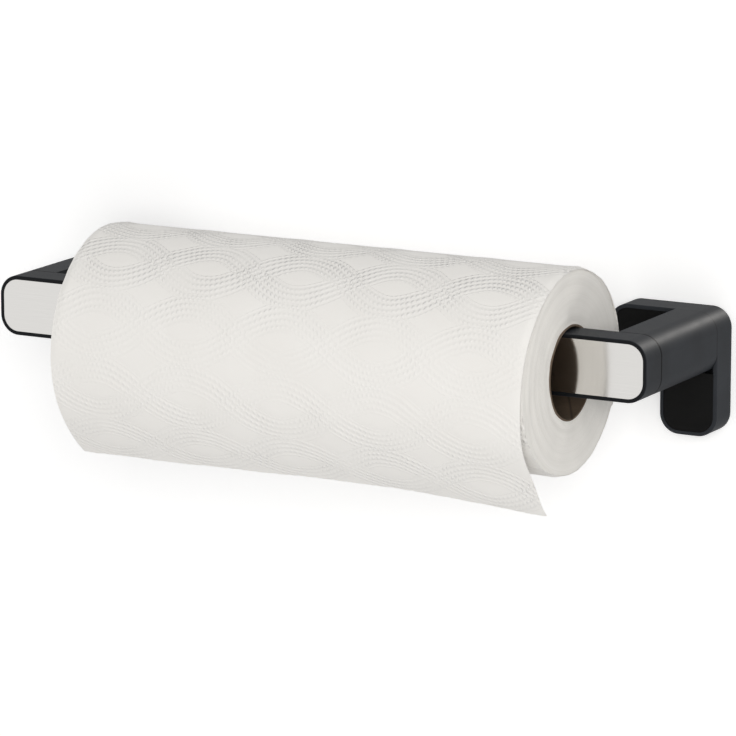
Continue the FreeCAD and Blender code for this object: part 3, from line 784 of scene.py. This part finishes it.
# %% Core
SEAM_DEPTH = 0.25 * MM
SEAM_HALF = 0.03
CORE_SHORT = 0.4 * MM
CORE_FIT = 0.02 * MM
core = lathe_ring("towel_core", CORE_OUT_R - CORE_WALL, CORE_OUT_R - CORE_FIT,
                  ROLL_LEFT + CORE_SHORT, ROLL_RIGHT - CORE_SHORT, 110, 2, 140)
for vertex in core.data.vertices:
    radius, angle = polar(vertex.co)
    spiral = vertex.co.x / SEAM_LEAD + angle / (2 * math.pi)
    from_seam = abs(spiral - math.floor(spiral) - 0.5)
    if from_seam < SEAM_HALF and radius < CORE_OUT_R - CORE_WALL / 2:
        deeper = (radius + SEAM_DEPTH) / radius
        vertex.co.y = AXIS_Y + (vertex.co.y - AXIS_Y) * deeper
        vertex.co.z = AXIS_Z + (vertex.co.z - AXIS_Z) * deeper
core.data.materials.append(kraft.material)
bpy.ops.object.shade_smooth_by_angle(angle=SMOOTH_ANGLE)
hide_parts("core_tube")
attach(core, "roll")
print("core:", triangles(core), "triangles")

# %% [markdown]
# ## The loose sheet
# The last sheet lies round the roll from its perforation at the back, over the top, slack in front, and
# its free edge hangs below and curls back a little. Seen from the roll's end its path is three arcs, which
# meet without a kink: close round the roll, wider where it is slack, and widest where it hangs.

# %% Path of the sheet
SHEET_LENGTH = 279.4 * MM
SLACK_FROM = math.radians(74.0)
SLACK_TO = math.radians(-29.0)
SLACK_R = 62.3 * MM
HANG_R = 97.3 * MM
HANG_LENGTH = 39.0 * MM
SHEET_GAP = 0.12 * MM


def out_from_axis(angle):
    return Vector((0, -math.cos(angle), math.sin(angle)))


CLOSE_R = ROLL_R + SHEET_GAP
SLACK_LENGTH = (SLACK_FROM - SLACK_TO) * SLACK_R
SLACK_CENTRE = AXIS - out_from_axis(SLACK_FROM) * (SLACK_R - CLOSE_R)
HANG_CENTRE = SLACK_CENTRE - out_from_axis(SLACK_TO) * (HANG_R - SLACK_R)


def sheet_path(from_edge):
    """The point and outward direction at a distance from the free edge, in the section of the roll."""
    if from_edge < HANG_LENGTH:
        angle = SLACK_TO - (HANG_LENGTH - from_edge) / HANG_R
        return HANG_CENTRE + out_from_axis(angle) * HANG_R, out_from_axis(angle)
    if from_edge < HANG_LENGTH + SLACK_LENGTH:
        angle = SLACK_TO + (from_edge - HANG_LENGTH) / SLACK_R
        return SLACK_CENTRE + out_from_axis(angle) * SLACK_R, out_from_axis(angle)
    angle = SLACK_FROM + (from_edge - HANG_LENGTH - SLACK_LENGTH) / CLOSE_R
    return AXIS + out_from_axis(angle) * CLOSE_R, out_from_axis(angle)


print("slack part:", round(SLACK_LENGTH / MM), "mm of paper, hanging part:", round(HANG_LENGTH / MM), "mm")

# %% [markdown]
# Slack paper isn't straight. Soft waves stand off the path towards the free edge, a buckle stands at the
# right side, and the free edge is highest left of the middle and lowest at its right tip.

# %% Waves and lift
def sheet_wave(across, from_edge):
    """How far the slack paper stands off its path, in metres."""
    free = soft_step(1 - from_edge / (HANG_LENGTH + 0.6 * SLACK_LENGTH))
    ripple = noise.noise(Vector((across * 7, from_edge * 4, 3.1)))
    fold = math.sin(across / ROLL_LENGTH * 5.2 + 0.6)
    at_right = soft_step((across / ROLL_LENGTH - 0.75) * 4)
    buckle = math.sin((from_edge - HANG_LENGTH) / (26 * MM) * math.pi)
    return (1.0 * ripple + 0.6 * fold + 1.5 * buckle * at_right) * MM * free


def edge_lift(across, from_edge):
    """How far the free edge hangs above or below its path: highest left of the middle, lowest at the tip."""
    share = across / ROLL_LENGTH
    free = soft_step(1 - from_edge / (HANG_LENGTH + 0.3 * SLACK_LENGTH))
    return (2.3 * math.cos((share - 0.35) * 2.2) - 2.2 * soft_step((share - 0.55) / 0.45)) * MM * free


print("the tip hangs", round(-edge_lift(ROLL_LENGTH, 0) / MM, 1), "mm lower than the path")

# %% [markdown]
# The sheet is one flat square of towel before it is bent, so it starts as a flat grid. Its UV map is set
# while it is flat, in metres, so that the pattern is the same on every towel.

# %% Flat sheet
SHEET_CELLS = 220
start_fresh()
bpy.ops.mesh.primitive_grid_add(x_subdivisions=SHEET_CELLS, y_subdivisions=SHEET_CELLS, size=1.0,
                                calc_uvs=True)
sheet = bpy.context.object
sheet.name = "towel_sheet"
sheet.data.name = "towel_sheet"
flat_layer = sheet.data.uv_layers.active
for corner in flat_layer.data:
    corner.uv = (corner.uv[0] * ROLL_LENGTH, corner.uv[1] * SHEET_LENGTH)
print("flat sheet:", round(ROLL_LENGTH / MM, 1), "by", round(SHEET_LENGTH / MM, 1), "mm")

# %% [markdown]
# Each point of the grid is laid on the path and stands off it by the waves and by the raised parts
# between the pressed ribbons. The two edges torn at the perforation are a little ragged. Where the sheet
# lies close, it follows the bulge, the frill and the fallen edge of the turns below it. Solidify gives the
# paper its thickness.

# %% Loose sheet
SHEET_THICKNESS = 0.3 * MM
PRESS_DEPTH = 0.22 * MM
PRESS_FROM_END = 3 * MM
TORN_EDGE = 0.6 * MM
EDGE_TOUCH = 0.1 * MM
for vertex in sheet.data.vertices:
    across = (vertex.co.x + 0.5) * ROLL_LENGTH
    from_edge = (vertex.co.y + 0.5) * SHEET_LENGTH
    if from_edge < EDGE_TOUCH or from_edge > SHEET_LENGTH - EDGE_TOUCH:
        torn = TORN_EDGE * noise.noise(Vector((across * 900, from_edge, 0.5)))
        from_edge += torn if from_edge < EDGE_TOUCH else -abs(torn)
    point, outward = sheet_path(from_edge)
    angle = polar(point)[1]
    from_end = min(across, ROLL_LENGTH - across)
    raised = PRESS_DEPTH * (1 - pressed(across / MM, from_edge / MM)) * soft_step(from_end / PRESS_FROM_END)
    close = soft_step((from_edge / MM - 60) / 60)
    stand = sheet_wave(across, from_edge) + raised + back_slack(angle) + TURN_LEAST
    stand += close * (end_frill(ROLL_LEFT + across, angle) - end_round(ROLL_LEFT + across))
    vertex.co = point + outward * stand + Vector((ROLL_LEFT + across, 0, edge_lift(across, from_edge)))
sheet.data.materials.append(towel.material)
thickness = sheet.modifiers.new("thickness", "SOLIDIFY")
thickness.thickness = SHEET_THICKNESS
thickness.offset = 1.0
apply_modifiers(sheet)
bpy.ops.object.shade_smooth_by_angle(angle=SMOOTH_ANGLE)
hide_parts("loose_sheet")
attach(sheet, "loose_end")
print("sheet:", triangles(sheet), "triangles")

# %% [markdown]
# ## Studio
# The holder hangs on a white wall in soft light. The wall shows only from the front, so that the back of
# the holder can be looked at too. Wall and floor are staging, not part of the holder.

# %% Wall and floor
def stage_plane(name, size, location, rotation, material):
    start_fresh()
    bpy.ops.mesh.primitive_plane_add(size=size, location=location, rotation=rotation)
    plane = bpy.context.object
    plane.name = name
    plane.data.materials.append(material)
    return plane


def one_way(name, colour, glow):
    """A matt surface seen from its front and clear from its back."""
    material = bpy.data.materials.new(name)
    material.use_nodes = True
    nodes, links = material.node_tree.nodes, material.node_tree.links
    matt = nodes["Principled BSDF"]
    matt.inputs["Base Color"].default_value = (*colour, 1)
    matt.inputs["Roughness"].default_value = 1.0
    matt.inputs["Emission Color"].default_value = (1, 1, 1, 1)
    matt.inputs["Emission Strength"].default_value = glow
    clear = nodes.new("ShaderNodeBsdfTransparent")
    mixed = nodes.new("ShaderNodeMixShader")
    geometry = nodes.new("ShaderNodeNewGeometry")
    links.new(geometry.outputs["Backfacing"], mixed.inputs[0])
    links.new(matt.outputs[0], mixed.inputs[1])
    links.new(clear.outputs[0], mixed.inputs[2])
    links.new(mixed.outputs[0], nodes["Material Output"].inputs["Surface"])
    return material


wall_white = one_way("wall_white", (0.93, 0.93, 0.93), 0.30)
wall = stage_plane("wall", 6.0, (0, 0.0005, 0), (math.pi / 2, 0, 0), wall_white)
wall.visible_diffuse = False
wall.visible_glossy = False
wall.visible_shadow = False
floor_white = one_way("floor_white", (0.90, 0.90, 0.90), 0.05)
floor = stage_plane("floor", 8.0, (0, 0, -1.1), (0, 0, 0), floor_white)
print("stage:", wall.name, floor.name)

# %% [markdown]
# ## Light
# The room is white all round, so the paper is lit from every side and the black plastic shows a soft grey
# sheen. A wide lamp in front lifts the paper's face a little above its top. A second one on the right
# draws the roll's end, and a faint warm one above helps the soft shadow under the wall plates. These lamps
# don't show in gloss. The white card at the lower left is what the steel face mirrors, and the small one
# behind draws a line of light along the rounded shoulders of the arms. The cards show only in gloss.

# %% Lights
def soft_light(name, location, target, size, watts, colour=(1, 1, 1)):
    data = bpy.data.lights.new(name, "AREA")
    data.shape = "RECTANGLE"
    data.size, data.size_y = size
    data.energy = watts
    data.color = colour
    light = bpy.data.objects.new(name, data)
    bpy.context.scene.collection.objects.link(light)
    light.location = location
    light.rotation_mode = "QUATERNION"
    light.rotation_quaternion = (Vector(target) - Vector(location)).to_track_quat("-Z", "Y")
    return light


PAPER_WHITE = (1.0, 0.99, 0.97)
front_light = soft_light("front_light", (1.1, -2.3, 0.6), (0, -0.1, 0), (1.0, 0.9), 17.8, PAPER_WHITE)
top_light = soft_light("top_light", (0.35, -0.75, 1.5), (0.1, -0.1, 0), (0.5, 0.5), 0.5, (1.0, 0.95, 0.88))
side_light = soft_light("side_light", (2.0, -1.2, 0.9), (0.1, -0.1, 0), (0.7, 0.7), 5.0, PAPER_WHITE)
for lamp in (front_light, top_light, side_light):
    lamp.visible_glossy = False
shoulder_card = soft_light("shoulder_card", (0.62, 1.75, 0.95), (0.18, -0.05, 0), (0.40, 0.40), 17.0,
                           (1.0, 0.97, 0.93))
white_card = soft_light("white_card", (-1.4, -2.6, -0.6), (0, -0.1, 0), (2.4, 2.4), 6.3)
for card in (shoulder_card, white_card):
    card.visible_diffuse = False

# %% [markdown]
# The world is the white room itself. The Standard view keeps whites white.

# %% Room
world = bpy.data.worlds.new("studio")
bpy.context.scene.world = world
world.use_nodes = True
room = world.node_tree.nodes["Background"]
room.inputs["Color"].default_value = (1.0, 1.0, 1.0, 1)
room.inputs["Strength"].default_value = 0.575
bpy.context.scene.view_settings.view_transform = "Standard"
print("room strength:", round(room.inputs["Strength"].default_value, 3))
